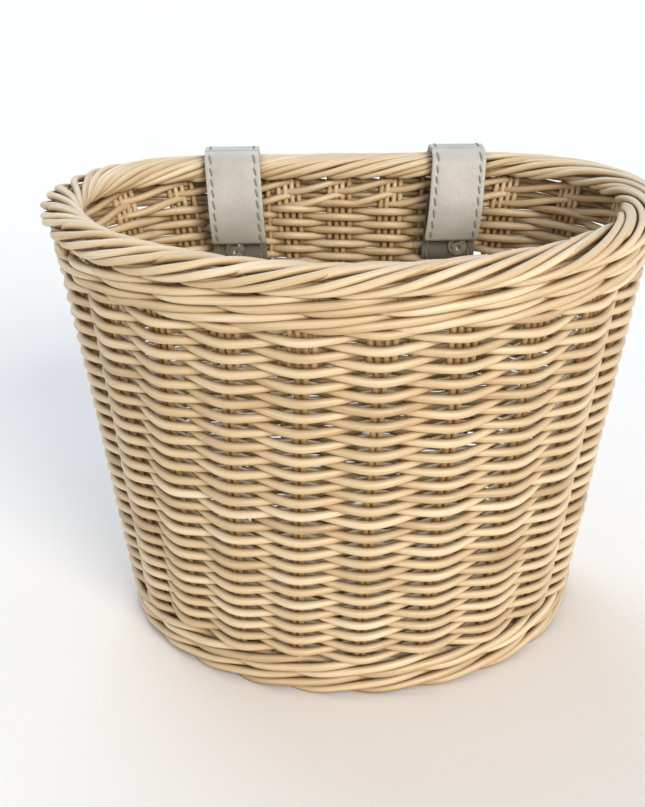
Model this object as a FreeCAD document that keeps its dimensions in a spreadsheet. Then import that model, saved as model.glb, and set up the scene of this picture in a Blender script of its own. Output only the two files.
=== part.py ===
import FreeCAD, Part
import math
import os
import Sketcher

# Wicker handlebar basket with two leatherette straps, in millimetres.
# +X runs along the handlebar, +Y points away from the rounded front, +Z is up.
# The origin lies on the standing surface, in the middle of the overall footprint.

SIZES = [
    # D-shaped outline at the widest part of the rim
    ("rim_half_width", 105.0),
    ("rim_back", 67.0),
    ("rim_front", 93.0),
    ("rim_corner", 57.0),
    # the same outline at the top of the side wall, and at the floor
    ("wall_half_width", 100.2),
    ("wall_back", 62.2),
    ("wall_front", 88.2),
    ("wall_corner", 52.2),
    ("wall_level", 140.0),
    ("base_half_width", 82.0),
    ("base_back", 59.0),
    ("base_front", 58.0),
    ("base_corner", 43.0),
    # heights of the woven bands
    ("floor_level", 0.0),
    ("foot_top", 8.0),
    ("lower_wale_top", 15.0),
    ("weave_top", 139.0),
    ("upper_wale_top", 147.0),
    ("rim_top", 160.0),
    ("wall_thickness", 6.5),
    ("rim_width", 15.0),
    ("rim_round", 5.0),
    ("foot_round", 2.0),
    ("band_gap", 0.02),
    # canes
    ("cane_diameter", 2.3),
    ("cane_clearance", 0.05),
    ("cane_spacing", 2.5),
    ("stake_groups", 23),
    ("stake_crowding", 0.122),
    ("back_crowding", 0.085),
    ("low_back_crowding", 0.129),
    ("stake_shift", 3.1),
    ("stake_sway", 5.44),
    ("stake_lean", 4.57),
    ("stake_foot", 5.0),
    ("stake_top", 151.0),
    ("border_cane_foot", 125.0),
    ("split_outer_foot", 10.0),
    ("split_outer_top", 16.0),
    ("split_inner_foot", 4.0),
    ("split_inner_top", 12.6),
    # woven floor
    ("base_underside", 3.5),
    ("base_topside", 11.3),
    ("base_clearance", 0.1),
    ("stick_diameter", 3.4),
    ("stick_count", 7),
    ("stick_pitch", 20.0),
    # straps: the inner side of each one is a taut path round four circles and a bulge
    ("strap_half_spacing", 42.0),
    ("strap_width", 20.0),
    ("lining_thickness", 1.0),
    ("face_thickness", 1.3),
    ("layer_gap", 0.05),
    ("crest_radius", 5.2),
    ("crest_inner_y", 56.0),
    ("crest_outer_y", 62.0),
    ("crest_level", 155.0),
    ("handlebar_radius", 11.2),
    ("handlebar_y", 79.15),
    ("handlebar_level", 134.0),
    ("tail_bend_radius", 1.2),
    ("tail_bend_y", 54.9),
    ("tail_bend_level", 123.6),
    ("tail_top", 146.0),
    ("bulge_radius", 18.0),
    ("bulge_y", 64.5),
    ("bulge_level", 140.0),
    ("flap_tip_drop", 10.0),
    ("hinge_angle", 150.0),
    ("hinge_half_gap", 1.2),
    ("seam_inset", 2.0),
    ("seam_width", 0.5),
    ("seam_height", 0.28),
    ("seam_end_margin", 9.0),
    ("seam_end_angle", -72.0),
    ("slot_low", 117.8),
    ("slot_high", 123.2),
    ("slot_width", 21.6),
    ("slot_start_y", 48.0),
    ("slot_depth", 20.0),
    # press fasteners
    ("stud_level", 140.0),
    ("stud_step", 14.0),
    ("stud_flange_radius", 3.5),
    ("stud_flange_thickness", 0.7),
    ("stud_nose_radius", 2.1),
    ("stud_nose_length", 1.9),
    ("stud_bore_radius", 1.1),
    ("post_radius", 1.0),
    ("post_cap_radius", 2.4),
    ("post_cap_thickness", 0.5),
    ("post_length", 3.7),
    ("hole_radius", 1.05),
    ("contact_gap", 0.02),
    ("socket_back_y", 47.05),
    ("socket_radius", 4.2),
    ("socket_thickness", 2.8),
    ("socket_bore_radius", 2.35),
    ("socket_bore_depth", 1.9),
    ("socket_edge_round", 0.6),
    ("rivet_flange_radius", 2.4),
    ("rivet_flange_thickness", 0.3),
    ("rivet_back_y", 45.7),
    ("rivet_neck_radius", 1.1),
    ("rivet_neck_length", 1.95),
    ("rivet_hole_start_y", 43.7),
    ("rivet_hole_depth", 4.0),
]


def make_sheet(doc):
    """Spreadsheet of driving dimensions: alias in column A, value in column B."""
    sheet = doc.addObject("Spreadsheet::Sheet", "Sizes")
    for row, (alias, value) in enumerate(SIZES, start=1):
        sheet.set(f"A{row}", alias)
        sheet.set(f"B{row}", str(value))
        sheet.setAlias(f"B{row}", alias)
    doc.recompute()
    return sheet


def bind(obj, prop, expression):
    obj.setExpression(prop, expression)


def new_body(doc, name):
    body = doc.addObject("PartDesign::Body", name)
    body.Label = name
    return body


def origin_plane(body, role):
    return next(plane for plane in body.Origin.OriginFeatures if plane.Role == role)


def new_sketch(body, name, role, height=None):
    """Sketch on one of the body's own origin planes, lifted along its normal."""
    sketch = body.newObject("Sketcher::SketchObject", name)
    sketch.AttachmentSupport = [(origin_plane(body, role), "")]
    sketch.MapMode = "FlatFace"
    if height is not None:
        bind(sketch, "AttachmentOffset.Base.z", height)
    return sketch


def name_datum(sketch, index, name, expression):
    sketch.renameConstraint(index, name)
    bind(sketch, f"Constraints.{name}", expression)


# ---------------------------------------------------------------- D outlines

OUTLINE_PARTS = ("half_width", "back", "front", "corner")


def wall_outline(level):
    """Outer outline of the tapering wall at a height, as expressions."""
    outline = {}
    for part in OUTLINE_PARTS:
        low = f"Sizes.base_{part}"
        high = f"Sizes.wall_{part}"
        outline[part] = f"({low} + ({high} - {low}) * ({level}) / Sizes.wall_level)"
    return outline


def rim_outline():
    return {part: f"Sizes.rim_{part}" for part in OUTLINE_PARTS}


def outline_circles(outline):
    """Corner and front circles of a D outline: straight back, two corners, one front arc."""
    corner_x = f"({outline['half_width']} - {outline['corner']})"
    corner_y = f"({outline['back']} - {outline['corner']})"
    reach = f"({corner_y} + {outline['front']})"
    over = f"({corner_x}^2 + {reach}^2 - {outline['corner']}^2)"
    front_radius = f"({over} / (2 * ({reach} - {outline['corner']})))"
    return {
        "corner_x": corner_x,
        "corner_y": corner_y,
        "corner_radius": outline["corner"],
        "front_radius": front_radius,
        "front_y": f"({front_radius} - {outline['front']})",
    }


def outline_values(body, outline):
    circles = outline_circles(outline)
    return {name: float(body.evalExpression(text)) for name, text in circles.items()}


def arc(x, y, radius, start, end):
    circle = Part.Circle(FreeCAD.Vector(x, y, 0), FreeCAD.Vector(0, 0, 1), radius)
    return Part.ArcOfCircle(circle, start, end)


def add_outline(sketch, outline, inset, tag):
    """One closed D loop, moved inwards by inset, with its radii and centres bound."""
    circles = outline_circles(outline)
    value = outline_values(sketch, outline)
    gap = float(sketch.evalExpression(inset))
    x = value["corner_x"]
    y = value["corner_y"]
    corner_radius = value["corner_radius"] - gap
    front_radius = value["front_radius"] - gap
    join = math.atan2(y - value["front_y"], x)
    top = y + corner_radius
    right = sketch.addGeometry(arc(x, y, corner_radius, join, math.pi / 2))
    ends = FreeCAD.Vector(x, top, 0), FreeCAD.Vector(-x, top, 0)
    back = sketch.addGeometry(Part.LineSegment(*ends))
    left = sketch.addGeometry(arc(-x, y, corner_radius, math.pi / 2, math.pi - join))
    front = sketch.addGeometry(arc(0, value["front_y"], front_radius, math.pi - join, 2 * math.pi + join))
    for first, second in ((right, back), (back, left), (left, front), (front, right)):
        sketch.addConstraint(Sketcher.Constraint("Tangent", first, 2, second, 1))
    sketch.addConstraint(Sketcher.Constraint("Symmetric", right, 3, left, 3, -2))
    sketch.addConstraint(Sketcher.Constraint("Equal", right, left))
    data = (
        (Sketcher.Constraint("DistanceX", -1, 1, right, 3, x), "corner_x", circles["corner_x"]),
        (Sketcher.Constraint("DistanceY", -1, 1, right, 3, y), "corner_y", circles["corner_y"]),
        (Sketcher.Constraint("Radius", right, corner_radius), "corner_radius",
         f"{circles['corner_radius']} - {inset}"),
        (Sketcher.Constraint("Radius", front, front_radius), "front_radius",
         f"{circles['front_radius']} - {inset}"),
    )
    for constraint, name, expression in data:
        index = sketch.addConstraint(constraint)
        name_datum(sketch, index, f"{tag}_{name}", expression)


def wall_section(body, name, level, inset):
    sketch = new_sketch(body, name, "XY_Plane", level)
    add_outline(sketch, wall_outline(level), inset, "wall")
    return sketch


def loft_between(body, kind, name, low, high):
    loft = body.newObject(kind, name)
    loft.Profile = low
    loft.Sections = [high]
    loft.Ruled = True
    body.Tip = loft
    return loft


def wall_band(doc, name, low, high):
    """Closed ring of woven wall between two heights, following the wall's taper."""
    body = new_body(doc, name)
    low = f"{low} + Sizes.band_gap"
    ends = (("low", low), ("high", high))
    outer = [wall_section(body, f"{name}_outer_{end}", level, "0") for end, level in ends]
    loft_between(body, "PartDesign::AdditiveLoft", f"{name}_shell", *outer)
    thick = "Sizes.wall_thickness"
    inner = [wall_section(body, f"{name}_inner_{end}", level, thick) for end, level in ends]
    loft_between(body, "PartDesign::SubtractiveLoft", f"{name}_hollow", *inner)
    return body


def cut_strap_slots(doc, body):
    """Two slots where the straps pass out through the back wall."""
    for side, centre in STRAP_CENTRES.items():
        slot = body.newObject("PartDesign::SubtractiveBox", f"strap_slot_{side}")
        bind(slot, "Length", "Sizes.slot_width")
        bind(slot, "Width", "Sizes.slot_depth")
        bind(slot, "Height", "Sizes.slot_high - Sizes.slot_low")
        bind(slot, "Placement.Base.x", f"{centre} - Sizes.slot_width / 2")
        bind(slot, "Placement.Base.y", "Sizes.slot_start_y")
        bind(slot, "Placement.Base.z", "Sizes.slot_low")
        body.Tip = slot


def edges_at(shape, level):
    """Names of the edges that lie flat at a height."""
    names = []
    for index, edge in enumerate(shape.Edges, start=1):
        box = edge.BoundBox
        if abs(box.ZMin - level) < 1e-4 and abs(box.ZMax - level) < 1e-4:
            names.append(f"Edge{index}")
    return names


def ring_pad(doc, name, outline, low, high, width):
    """Ring of a D outline, padded straight up between two heights."""
    body = new_body(doc, name)
    sketch = new_sketch(body, f"{name}_plan", "XY_Plane", low)
    add_outline(sketch, outline, "0", "outer")
    add_outline(sketch, outline, width, "inner")
    pad = body.newObject("PartDesign::Pad", f"{name}_pad")
    pad.Profile = sketch
    bind(pad, "Length", f"{high} - ({low})")
    body.Tip = pad
    doc.recompute()
    return body


def round_edges(doc, body, level, radius):
    base = body.Tip
    fillet = body.newObject("PartDesign::Fillet", f"{base.Name}_round")
    fillet.Base = (base, edges_at(base.Shape, body.evalExpression(level)))
    bind(fillet, "Radius", radius)
    body.Tip = fillet
    doc.recompute()


# ---------------------------------------------------------------- canes

# The stake groups that part to either side of the straps, counted from the middle of the back
STRAP_GROUP = 2


def outline_point(value, inset, distance):
    """Point at a distance along a D outline from the middle of its back, towards +X."""
    side = 1.0 if distance >= 0 else -1.0
    along = abs(distance)
    x = value["corner_x"]
    y = value["corner_y"]
    corner_radius = value["corner_radius"] - inset
    front_radius = value["front_radius"] - inset
    join = math.atan2(y - value["front_y"], x)
    corner_length = corner_radius * (math.pi / 2 - join)
    if along <= x:
        return side * along, y + corner_radius
    if along <= x + corner_length:
        angle = math.pi / 2 - (along - x) / corner_radius
        return side * (x + corner_radius * math.cos(angle)), y + corner_radius * math.sin(angle)
    angle = join - (along - x - corner_length) / front_radius
    return side * front_radius * math.cos(angle), value["front_y"] + front_radius * math.sin(angle)


def outline_length(value, inset):
    join = math.atan2(value["corner_y"] - value["front_y"], value["corner_x"])
    corner = (value["corner_radius"] - inset) * (math.pi / 2 - join)
    front = (value["front_radius"] - inset) * (math.pi / 2 + join)
    return 2 * (value["corner_x"] + corner + front)


def group_distance(index, level, length, size):
    """Distance of a stake group along the wall's middle line at a height.

    Groups are closer together at the back and front, and at the back most of all low down.
    """
    turn = 2 * math.pi * index / size("stake_groups")
    drop = 1 - level / size("wall_level")
    both_ends = size("stake_crowding") / 2 * math.sin(2 * turn)
    back = (size("back_crowding") + size("low_back_crowding") * drop) * math.sin(turn)
    lean = size("stake_lean") * drop * (1 - math.cos(turn)) / 2
    sway = size("stake_shift") - size("stake_sway") * math.cos(turn) + lean
    return (turn - both_ends - back) / (2 * math.pi) * length + sway


def make_canes(doc, size):
    """Axis lines of the main canes and of the short canes pushed in under the border."""
    holder = doc.getObject("Sizes")
    half_wall = size("wall_thickness") / 2
    ends = []
    for level in (size("stake_foot"), size("stake_top")):
        value = outline_values(holder, wall_outline(str(level)))
        ends.append((level, value, outline_length(value, half_wall)))

    def line(foot_distance, top_distance):
        points = []
        for (level, value, _), distance in zip(ends, (foot_distance, top_distance)):
            x, y = outline_point(value, half_wall, distance)
            points.append(FreeCAD.Vector(x, y, level))
        return points

    groups = int(size("stake_groups"))
    pitch = size("cane_spacing")
    main, border = [], []
    for index in range(-(groups // 2), groups // 2 + 1):
        side = 1 if index > 0 else -1
        middle = [group_distance(index, level, length, size) for level, _, length in ends]
        if abs(index) == STRAP_GROUP:
            foot = middle[0]
            top = side * size("strap_half_spacing")
            main.append(line(foot + side * size("split_outer_foot"), top + side * size("split_outer_top")))
            main.append(line(foot - side * size("split_inner_foot"), top - side * size("split_inner_top")))
            continue
        for step in (-0.5, 0.5):
            main.append(line(*(distance + step * pitch for distance in middle)))
        for step in (-1.5, 1.5):
            faces_strap = abs(index) == STRAP_GROUP + 1 and step * side < 0
            if not faces_strap:
                border.append(line(*(distance + step * pitch for distance in middle)))
    return main, border


def cane(points, start, radius):
    """Round cane along an axis line, starting part of the way up it."""
    low, high = points
    first = low + (high - low) * start
    axis = high - first
    return Part.makeCylinder(radius, axis.Length, first, axis)


def feature(doc, name, shape):
    """Sub-part whose shape is a group of separate solids."""
    item = doc.addObject("Part::Feature", name)
    item.Label = name
    item.Shape = shape
    item.Placement = FreeCAD.Placement()
    return item


def drilled(doc, name, body, channels):
    """Woven band with a channel for every cane that passes through it."""
    cut = doc.addObject("Part::Cut", name)
    cut.Base = body
    cut.Tool = channels
    cut.Label = name
    return cut


# ---------------------------------------------------------------- straps

STRAP_CENTRES = {
    "left": "-Sizes.strap_half_spacing",
    "right": "Sizes.strap_half_spacing",
}

BULGE = ("Sizes.bulge_y", "Sizes.bulge_level", "Sizes.bulge_radius")
CREST_INNER = ("Sizes.crest_inner_y", "Sizes.crest_level", "Sizes.crest_radius")
CREST_OUTER = ("Sizes.crest_outer_y", "Sizes.crest_level", "Sizes.crest_radius")
HANDLEBAR = ("Sizes.handlebar_y", "Sizes.handlebar_level", "Sizes.handlebar_radius")
TAIL_BEND = ("Sizes.tail_bend_y", "Sizes.tail_bend_level", "Sizes.tail_bend_radius")

LINING = ("0", "Sizes.lining_thickness")
FACE_START = "Sizes.lining_thickness + Sizes.layer_gap"
FACE_END = f"{FACE_START} + Sizes.face_thickness"
FACE = (FACE_START, FACE_END)
SEAM = (f"{FACE_END} + Sizes.contact_gap", f"{FACE_END} + Sizes.seam_height")


def taut_angles(circles):
    """Directions in which a taut band, turning clockwise, leaves each circle for the next."""
    angles = []
    for (y, z, radius), (next_y, next_z, next_radius) in zip(circles, circles[1:]):
        span = math.hypot(next_y - y, next_z - z)
        bearing = math.atan2(next_z - z, next_y - y)
        angles.append(bearing + math.acos((radius - next_radius) / span))
    return angles


def add_path(sketch, path, offset, start, end, tail_top, tag):
    """One side of the strap: arcs round the circles joined by tangent lines."""
    numbers = [[float(sketch.evalExpression(text)) for text in circle] for circle in path]
    extra = float(sketch.evalExpression(offset))
    angles = [start] + taut_angles(numbers) + [end]
    arcs = []
    for index, (y, z, radius) in enumerate(numbers):
        first = angles[index]
        last = angles[index + 1]
        turn = (first - last) % (2 * math.pi)
        arcs.append(sketch.addGeometry(arc(y, z, radius + extra, first - turn, first)))
        size = sketch.addConstraint(Sketcher.Constraint("Radius", arcs[-1], radius + extra))
        name_datum(sketch, size, f"{tag}_radius_{index}", f"{path[index][2]} + {offset}")
        across = sketch.addConstraint(Sketcher.Constraint("DistanceX", -1, 1, arcs[-1], 3, y))
        name_datum(sketch, across, f"{tag}_y_{index}", path[index][0])
        up = sketch.addConstraint(Sketcher.Constraint("DistanceY", -1, 1, arcs[-1], 3, z))
        name_datum(sketch, up, f"{tag}_z_{index}", path[index][1])
    for first, second in zip(arcs, arcs[1:]):
        leave = sketch.getPoint(first, 1)
        meet = sketch.getPoint(second, 2)
        line = sketch.addGeometry(Part.LineSegment(leave, meet))
        sketch.addConstraint(Sketcher.Constraint("Tangent", first, 1, line, 1))
        sketch.addConstraint(Sketcher.Constraint("Tangent", line, 2, second, 2))
    if tail_top is None:
        return (arcs[0], 2), (arcs[-1], 1)
    leave = sketch.getPoint(arcs[-1], 1)
    height = float(sketch.evalExpression(tail_top))
    line = sketch.addGeometry(Part.LineSegment(leave, FreeCAD.Vector(leave.x, height, 0)))
    sketch.addConstraint(Sketcher.Constraint("Tangent", arcs[-1], 1, line, 1))
    sketch.addConstraint(Sketcher.Constraint("Vertical", line))
    top = sketch.addConstraint(Sketcher.Constraint("DistanceY", -1, 1, line, 2, height))
    name_datum(sketch, top, f"{tag}_top", tail_top)
    return (arcs[0], 2), (line, 2)


def add_cap(sketch, near, far):
    """Straight end of the strap, from its inner side to its outer side."""
    line = sketch.addGeometry(Part.LineSegment(sketch.getPoint(*near), sketch.getPoint(*far)))
    sketch.addConstraint(Sketcher.Constraint("Coincident", *near, line, 1))
    sketch.addConstraint(Sketcher.Constraint("Coincident", *far, line, 2))
    return line


def hold_angle(sketch, end, circle, offset, angle, name):
    """Keep a free end of the path at an angle round its circle."""
    level = f"{circle[1]} + ({circle[2]} + {offset}) * sin({angle} * 1 deg)"
    height = sketch.getPoint(*end).y
    index = sketch.addConstraint(Sketcher.Constraint("DistanceY", -1, 1, *end, height))
    name_datum(sketch, index, name, level)


def strap_band(doc, name, side, path, layer, start, end, tail_top, width, across="0"):
    """Length of strap material: one layer of the path, padded across the strap's width."""
    body = new_body(doc, name)
    sketch = new_sketch(body, f"{name}_profile", "YZ_Plane")
    first = math.radians(float(body.evalExpression(start)))
    last = math.radians(float(body.evalExpression(end))) if end else math.pi
    inner, outer = layer
    near = add_path(sketch, path, inner, first, last, tail_top, "inner")
    far = add_path(sketch, path, outer, first, last, tail_top, "outer")
    hold_angle(sketch, near[0], path[0], inner, start, "inner_start")
    hold_angle(sketch, far[0], path[0], outer, start, "outer_start")
    if end:
        hold_angle(sketch, near[1], path[-1], inner, end, "inner_end")
        hold_angle(sketch, far[1], path[-1], outer, end, "outer_end")
    add_cap(sketch, near[0], far[0])
    add_cap(sketch, near[1], far[1])
    pad = body.newObject("PartDesign::Pad", f"{name}_pad")
    pad.Profile = sketch
    pad.SideType = "Symmetric"
    bind(pad, "Length", width)
    body.Tip = pad
    bind(body, "Placement.Base.x", f"{STRAP_CENTRES[side]} + {across}")
    return body


def mirror_seam(doc, body):
    """Second row of stitches, along the strap's other edge."""
    pad = body.Tip
    body.AllowCompound = True
    pattern = body.newObject("PartDesign::LinearPattern", f"{body.Name}_pair")
    pattern.Originals = [pad]
    pattern.Direction = (pad.Profile[0], ["N_Axis"])
    bind(pattern, "Length", "Sizes.strap_width - 2 * Sizes.seam_inset")
    pattern.Occurrences = 2
    body.Tip = pattern


def along_y(y, z):
    """Placement that stands a cylinder's axis along +Y."""
    turn = FreeCAD.Rotation(FreeCAD.Vector(1, 0, 0), -90)
    return FreeCAD.Placement(FreeCAD.Vector(0, y, z), turn)


def punch(body, name, y, z, radius, depth):
    """Round hole along Y, for a rivet."""
    hole = body.newObject("PartDesign::SubtractiveCylinder", name)
    hole.Placement = along_y(0, 0)
    bind(hole, "Radius", radius)
    bind(hole, "Height", depth)
    bind(hole, "Placement.Base.y", y)
    bind(hole, "Placement.Base.z", z)
    body.Tip = hole


def turned(doc, name, side, outline, y, z, count=1):
    """Small turned part whose axis runs along Y, with outline points as (radius, depth)."""
    body = new_body(doc, name)
    sketch = new_sketch(body, f"{name}_half", "XY_Plane")
    points = [[float(sketch.evalExpression(text)) for text in point] for point in outline]
    lines = []
    for first, second in zip(points, points[1:] + points[:1]):
        start = FreeCAD.Vector(first[0], first[1], 0)
        end = FreeCAD.Vector(second[0], second[1], 0)
        lines.append(sketch.addGeometry(Part.LineSegment(start, end)))
    for first, second in zip(lines, lines[1:] + lines[:1]):
        sketch.addConstraint(Sketcher.Constraint("Coincident", first, 2, second, 1))
    for index, (point, texts) in enumerate(zip(points, outline)):
        spots = (("DistanceX", point[0], texts[0], "radius"), ("DistanceY", point[1], texts[1], "depth"))
        for kind, number, text, word in spots:
            datum = sketch.addConstraint(Sketcher.Constraint(kind, -1, 1, lines[index], 1, number))
            name_datum(sketch, datum, f"{word}_{index}", text)
    spin = body.newObject("PartDesign::Revolution", f"{name}_turned")
    spin.Profile = sketch
    spin.ReferenceAxis = (sketch, ["V_Axis"])
    spin.Angle = 360
    body.Tip = spin
    if count > 1:
        body.AllowCompound = True
        pattern = body.newObject("PartDesign::LinearPattern", f"{name}_pair")
        pattern.Originals = [spin]
        pattern.Direction = (sketch, ["N_Axis"])
        pattern.Reversed = True
        bind(pattern, "Length", "Sizes.stud_step")
        pattern.Occurrences = count
        body.Tip = pattern
    bind(body, "Placement.Base.x", STRAP_CENTRES[side])
    bind(body, "Placement.Base.y", y)
    bind(body, "Placement.Base.z", z)
    return body


TAIL_BACK = "(Sizes.tail_bend_y - Sizes.tail_bend_radius)"
TAIL_FACE = f"({TAIL_BACK} - ({FACE_END}))"
TIP_ANGLE = "(180 + asin(Sizes.flap_tip_drop / Sizes.bulge_radius) / 1 deg)"
SEAM_TIP_ANGLE = f"({TIP_ANGLE} - Sizes.seam_end_margin)"
FLAP_END = "(Sizes.hinge_angle + Sizes.hinge_half_gap)"
LOOP_START = "(Sizes.hinge_angle - Sizes.hinge_half_gap)"
FLAP_SEAM_END = f"({FLAP_END} + Sizes.seam_end_margin)"
LOOP_SEAM_START = f"({LOOP_START} - Sizes.seam_end_margin)"

FLAP_PATH = [BULGE, CREST_INNER]
LOOP_PATH = [CREST_INNER, CREST_OUTER, HANDLEBAR, TAIL_BEND]


def make_loop(doc, side):
    """Fixed length of one strap: over the rim, round the handlebar and up inside as a tail."""
    parts = []
    layers = (("lining", LINING), ("face", FACE))
    for word, layer in layers:
        body = strap_band(doc, f"{side}_loop_{word}", side, LOOP_PATH, layer, LOOP_START, None,
                          "Sizes.tail_top", "Sizes.strap_width")
        for index in (0, 1):
            punch(body, f"{side}_{word}_hole_{index}", f"{TAIL_FACE} - Sizes.stud_flange_thickness",
                  f"Sizes.stud_level - {index} * Sizes.stud_step", "Sizes.hole_radius",
                  "Sizes.post_length + Sizes.post_cap_thickness")
        parts.append(body)
    seam = strap_band(doc, f"{side}_loop_seams", side, LOOP_PATH[:3], SEAM, LOOP_SEAM_START,
                      "Sizes.seam_end_angle", None, "Sizes.seam_width",
                      "Sizes.seam_inset - Sizes.strap_width / 2")
    mirror_seam(doc, seam)
    parts.append(seam)
    return parts


def make_flap(doc, side):
    """Free end of one strap, which hangs inside the basket and lifts."""
    lining = strap_band(doc, f"{side}_flap_lining", side, FLAP_PATH, LINING, TIP_ANGLE, FLAP_END,
                        None, "Sizes.strap_width")
    seat = "Sizes.rivet_back_y - Sizes.rivet_hole_start_y + Sizes.rivet_flange_thickness"
    punch(lining, f"{side}_socket_hole", "Sizes.rivet_hole_start_y", "Sizes.stud_level",
          "Sizes.rivet_neck_radius + Sizes.layer_gap", "Sizes.rivet_hole_depth")
    punch(lining, f"{side}_rivet_seat", "Sizes.rivet_hole_start_y", "Sizes.stud_level",
          "Sizes.rivet_flange_radius + Sizes.layer_gap", seat)
    face = strap_band(doc, f"{side}_flap_face", side, FLAP_PATH, FACE, TIP_ANGLE, FLAP_END,
                      None, "Sizes.strap_width")
    seam = strap_band(doc, f"{side}_flap_seams", side, FLAP_PATH, SEAM, SEAM_TIP_ANGLE,
                      FLAP_SEAM_END, None, "Sizes.seam_width",
                      "Sizes.seam_inset - Sizes.strap_width / 2")
    mirror_seam(doc, seam)
    return [lining, face, seam]


def make_fasteners(doc, side):
    """Two press studs riveted to the tail, and the socket riveted to the flap's lining."""
    flange = "Sizes.stud_flange_thickness"
    nose = f"{flange} + Sizes.stud_nose_length"
    stud = [
        ("Sizes.stud_bore_radius", "0"),
        ("Sizes.stud_flange_radius", "0"),
        ("Sizes.stud_flange_radius", f"-{flange}"),
        ("Sizes.stud_nose_radius", f"-{flange}"),
        ("Sizes.stud_nose_radius", f"-({nose})"),
        ("Sizes.stud_bore_radius", f"-({nose})"),
    ]
    post = [
        ("0", "0"),
        ("Sizes.post_cap_radius", "0"),
        ("Sizes.post_cap_radius", "-Sizes.post_cap_thickness"),
        ("Sizes.post_radius", "-Sizes.post_cap_thickness"),
        ("Sizes.post_radius", "-Sizes.post_cap_thickness - Sizes.post_length"),
        ("0", "-Sizes.post_cap_thickness - Sizes.post_length"),
    ]
    socket = [
        ("Sizes.rivet_neck_radius + Sizes.contact_gap", "0"),
        ("Sizes.socket_radius", "0"),
        ("Sizes.socket_radius", "Sizes.socket_thickness - Sizes.socket_edge_round"),
        ("Sizes.socket_radius - Sizes.socket_edge_round", "Sizes.socket_thickness"),
        ("Sizes.socket_bore_radius", "Sizes.socket_thickness"),
        ("Sizes.socket_bore_radius", "Sizes.socket_thickness - Sizes.socket_bore_depth"),
        ("Sizes.rivet_neck_radius + Sizes.contact_gap",
         "Sizes.socket_thickness - Sizes.socket_bore_depth"),
    ]
    rivet = [
        ("0", "0"),
        ("Sizes.rivet_flange_radius", "0"),
        ("Sizes.rivet_flange_radius", "Sizes.rivet_flange_thickness - Sizes.contact_gap"),
        ("Sizes.rivet_neck_radius", "Sizes.rivet_flange_thickness - Sizes.contact_gap"),
        ("Sizes.rivet_neck_radius", "Sizes.rivet_neck_length"),
        ("0", "Sizes.rivet_neck_length"),
    ]
    return [
        turned(doc, f"{side}_tail_studs", side, stud, f"{TAIL_FACE} - Sizes.contact_gap",
               "Sizes.stud_level", 2),
        turned(doc, f"{side}_stud_posts", side, post,
               f"{TAIL_BACK} + Sizes.post_cap_thickness + Sizes.contact_gap", "Sizes.stud_level", 2),
        turned(doc, f"{side}_flap_socket", side, socket, "Sizes.socket_back_y", "Sizes.stud_level"),
        turned(doc, f"{side}_socket_rivet", side, rivet, "Sizes.rivet_back_y", "Sizes.stud_level"),
    ]


# ---------------------------------------------------------------- basket

def make_basket(doc, size):
    """Cane skeleton, woven bands, floor, rolled border and foot."""
    radius = size("cane_diameter") / 2
    main, border = make_canes(doc, size)
    start = (size("border_cane_foot") - size("stake_foot")) / (size("stake_top") - size("stake_foot"))
    parts = [
        feature(doc, "main_stakes", Part.Compound([cane(points, 0, radius) for points in main])),
        feature(doc, "border_stakes", Part.Compound([cane(points, start, radius) for points in border])),
    ]
    wide = radius + size("cane_clearance")
    channels = [cane(points, 0, wide) for points in main]
    channels += [cane(points, start, wide) for points in border]
    tool = feature(doc, "cane_channels", Part.Compound(channels))

    foot = ring_pad(doc, "foot_ring", wall_outline("0"), "Sizes.floor_level", "Sizes.foot_top",
                    "Sizes.wall_thickness")
    round_edges(doc, foot, "Sizes.floor_level", "Sizes.foot_round")
    lower = wall_band(doc, "lower_wale_band", "Sizes.foot_top", "Sizes.lower_wale_top")
    weave = wall_band(doc, "side_weave_band", "Sizes.lower_wale_top", "Sizes.weave_top")
    cut_strap_slots(doc, weave)
    upper = wall_band(doc, "upper_wale_band", "Sizes.weave_top", "Sizes.upper_wale_top")
    rim = ring_pad(doc, "rim_ring", rim_outline(), "Sizes.upper_wale_top + Sizes.band_gap",
                   "Sizes.rim_top", "Sizes.rim_width")
    round_edges(doc, rim, "Sizes.rim_top", "Sizes.rim_round")
    round_edges(doc, rim, "Sizes.upper_wale_top + Sizes.band_gap", "Sizes.foot_round")

    bands = (("foot_border", foot), ("lower_wale", lower), ("side_weave", weave),
             ("upper_wale", upper), ("rolled_border", rim))
    parts += [drilled(doc, name, body, tool) for name, body in bands]
    return parts


def make_floor(doc, size):
    """Woven floor inside the wall, with sticks from front to back through it."""
    body = new_body(doc, "floor_plate")
    inset = "Sizes.wall_thickness + Sizes.base_clearance"
    sketch = new_sketch(body, "floor_plan", "XY_Plane", "Sizes.base_underside")
    add_outline(sketch, wall_outline("0"), f"({inset})", "floor")
    pad = body.newObject("PartDesign::Pad", "floor_pad")
    pad.Profile = sketch
    bind(pad, "Length", "Sizes.base_topside - Sizes.base_underside")
    body.Tip = pad

    value = outline_values(body, wall_outline("0"))
    margin = size("wall_thickness") + size("stick_diameter")
    level = (size("base_underside") + size("base_topside")) / 2
    radius = size("stick_diameter") / 2
    sticks, channels = [], []
    count = int(size("stick_count"))
    for index in range(count):
        x = (index - (count - 1) / 2) * size("stick_pitch")
        front = value["front_y"] - math.sqrt((value["front_radius"] - margin) ** 2 - x ** 2)
        beyond = max(0.0, abs(x) - value["corner_x"])
        back = value["corner_y"] + math.sqrt((value["corner_radius"] - margin) ** 2 - beyond ** 2)
        foot = FreeCAD.Vector(x, front, level)
        axis = FreeCAD.Vector(0, 1, 0)
        sticks.append(Part.makeCylinder(radius, back - front, foot, axis))
        channels.append(Part.makeCylinder(radius + size("cane_clearance"), back - front, foot, axis))
    tool = feature(doc, "stick_channels", Part.Compound(channels))
    return [feature(doc, "base_sticks", Part.Compound(sticks)), drilled(doc, "base_weave", body, tool)]


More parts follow.
